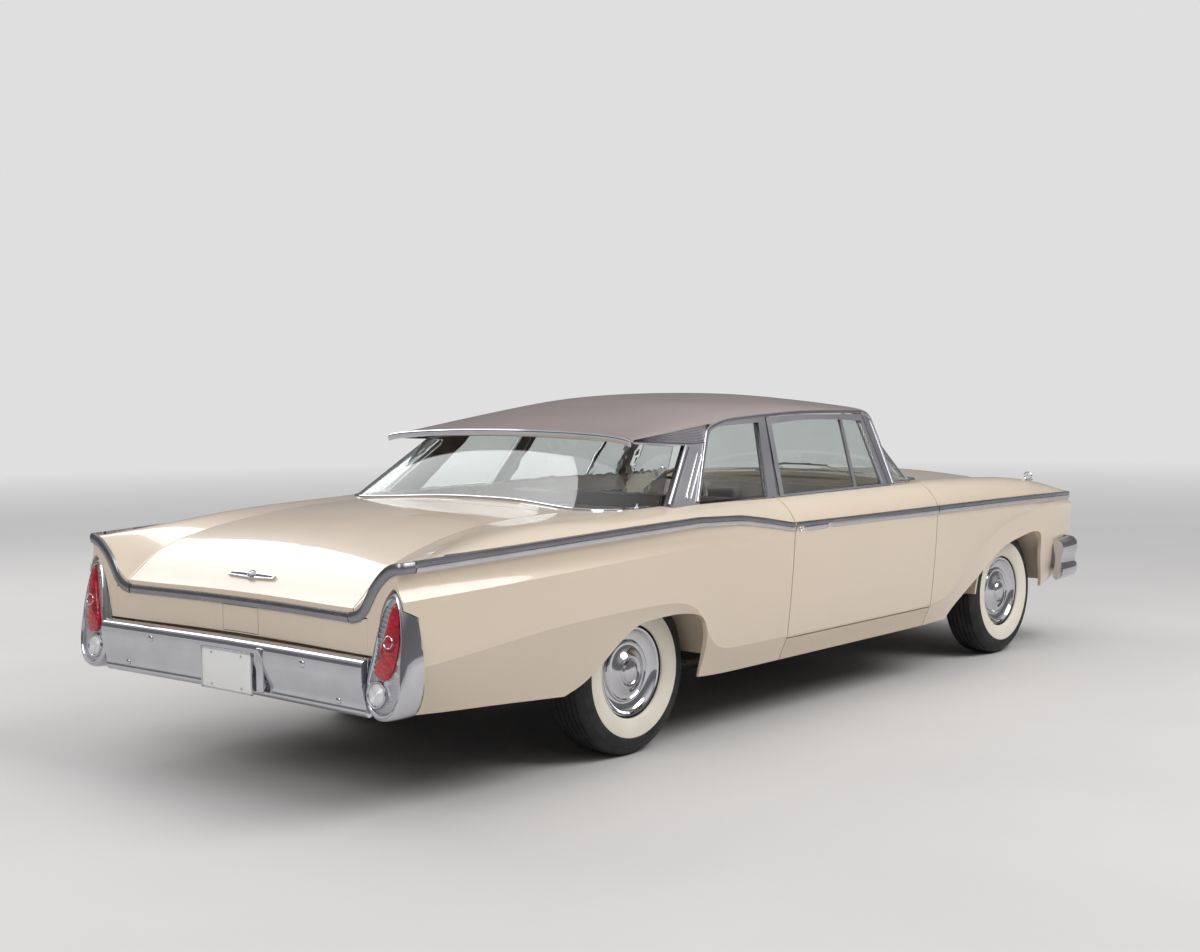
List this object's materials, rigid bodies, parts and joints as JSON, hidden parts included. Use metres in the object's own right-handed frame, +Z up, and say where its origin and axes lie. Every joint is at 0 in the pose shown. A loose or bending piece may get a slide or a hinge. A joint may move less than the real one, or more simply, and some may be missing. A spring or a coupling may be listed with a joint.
{
  "type": "passenger car",
  "caption": "Full-size two-door sedan with flat tail fins, wrapped windshield, tall tail lamp pods, opening doors, hood and trunk, steered front wheels.",
  "frame": {"origin": "on the ground, in the middle of the overall length and width", "axes": "front faces -Y, +X is the car's left side, +Z is up"},
  "size_m": [2.027, 5.5283, 1.4652],
  "materials": {
    "body_paint": "gloss cream enamel",
    "roof_paint": "gloss metallic rose-beige enamel",
    "chrome": "polished",
    "glass": "clear",
    "lamp_red": "moulded lens",
    "lamp_clear": "clear lens",
    "frame_steel": "semi-gloss black",
    "floor_steel": "primer",
    "cast": "painted casting",
    "steel": "bare",
    "vinyl": "brown vinyl, pleated",
    "dash": "brown enamel",
    "ivory": "ivory",
    "wheel_metal": "polished wheel cover",
    "tyre": "black with wide white wall"
  },
  "bodies": {
    "body": {"cowl_and_firewall": "body_paint", "fender_left": "body_paint", "fender_right": "body_paint", "quarter_panel_left": "body_paint", "quarter_panel_right": "body_paint", "quarter_glasses": "glass", "rear_deck": "body_paint", "tail_panel": "body_paint", "roof_and_pillars": "roof_paint", "windshield": "glass", "backlight": "glass", "chassis_frame": "frame_steel", "floor_and_sills": "floor_steel", "front_bumper": "chrome", "rear_bumper": "chrome", "tail_lamps": "lamp_red", "grille": "chrome", "headlamps": "lamp_clear", "engine_block": "cast", "gearbox_and_shaft": "cast", "rear_axle": "frame_steel", "exhaust": "steel", "fuel_tank": "steel", "front_suspension": "frame_steel", "front_seat": "vinyl", "rear_seat": "vinyl", "dashboard": "dash"},
    "hood": {"hood": "body_paint"},
    "trunk_lid": {"trunk_lid": "body_paint"},
    "fuel_door": {"fuel_door": "body_paint"},
    "door_left": {"door_left": "body_paint", "door_glass_left": "glass"},
    "door_right": {"door_right": "body_paint", "door_glass_right": "glass"},
    "knuckle_left": {"knuckle_left": "cast"},
    "knuckle_right": {"knuckle_right": "cast"},
    "steering_wheel": {"steering_wheel": "ivory"},
    "wheel_front_left": {"wheel_front_left": "wheel_metal", "tyre_front_left": "tyre"},
    "wheel_front_right": {"wheel_front_right": "wheel_metal", "tyre_front_right": "tyre"},
    "wheel_rear_left": {"wheel_rear_left": "wheel_metal", "tyre_rear_left": "tyre"},
    "wheel_rear_right": {"wheel_rear_right": "wheel_metal", "tyre_rear_right": "tyre"}
  },
  "joints": [
    {"name": "hood_hinge", "type": "hinge", "parent": "body", "child": "hood", "pos_m": [0, -1.192, 1.022], "axis": [-1, 0, 0], "range_deg": [0, 50]},
    {"name": "trunk_lid_hinge", "type": "hinge", "parent": "body", "child": "trunk_lid", "pos_m": [0, 1.57, 1.024], "axis": [1, 0, 0], "range_deg": [0, 65]},
    {"name": "door_left_hinge", "type": "hinge", "parent": "body", "child": "door_left", "pos_m": [1.018, -0.858, 0.7], "axis": [0, 0, -1], "range_deg": [0, 65]},
    {"name": "door_right_hinge", "type": "hinge", "parent": "body", "child": "door_right", "pos_m": [-1.018, -0.858, 0.7], "axis": [0, 0, 1], "range_deg": [0, 65]},
    {"name": "fuel_door_hinge", "type": "hinge", "parent": "body", "child": "fuel_door", "pos_m": [0, 2.6635, 0.5945], "axis": [-1, 0, 0], "range_deg": [0, 90]},
    {"name": "front_left_steer", "type": "hinge", "parent": "body", "child": "knuckle_left", "pos_m": [0.682, -1.85, 0.345], "axis": [0, 0, 1], "range_deg": [-30, 30]},
    {"name": "front_right_steer", "type": "hinge", "parent": "body", "child": "knuckle_right", "pos_m": [-0.682, -1.85, 0.345], "axis": [0, 0, 1], "range_deg": [-30, 30]},
    {"name": "steering_wheel_turn", "type": "hinge", "parent": "body", "child": "steering_wheel", "pos_m": [0.38, -0.47, 0.85], "axis": [0, 0.9138, 0.4061], "range_deg": [-720, 720]},
    {"name": "front_left_spin", "type": "hinge", "parent": "knuckle_left", "child": "wheel_front_left", "pos_m": [0.762, -1.85, 0.345], "axis": [1, 0, 0], "continuous": true},
    {"name": "front_right_spin", "type": "hinge", "parent": "knuckle_right", "child": "wheel_front_right", "pos_m": [-0.762, -1.85, 0.345], "axis": [1, 0, 0], "continuous": true},
    {"name": "rear_left_spin", "type": "hinge", "parent": "body", "child": "wheel_rear_left", "pos_m": [0.762, 1.35, 0.345], "axis": [1, 0, 0], "continuous": true},
    {"name": "rear_right_spin", "type": "hinge", "parent": "body", "child": "wheel_rear_right", "pos_m": [-0.762, 1.35, 0.345], "axis": [1, 0, 0], "continuous": true}
  ],
  "couplings": [
    {"joint": "front_right_steer", "follows": "front_left_steer", "ratio": 1},
    {"joint": "steering_wheel_turn", "follows": "front_left_steer", "ratio": 24}
  ]
}
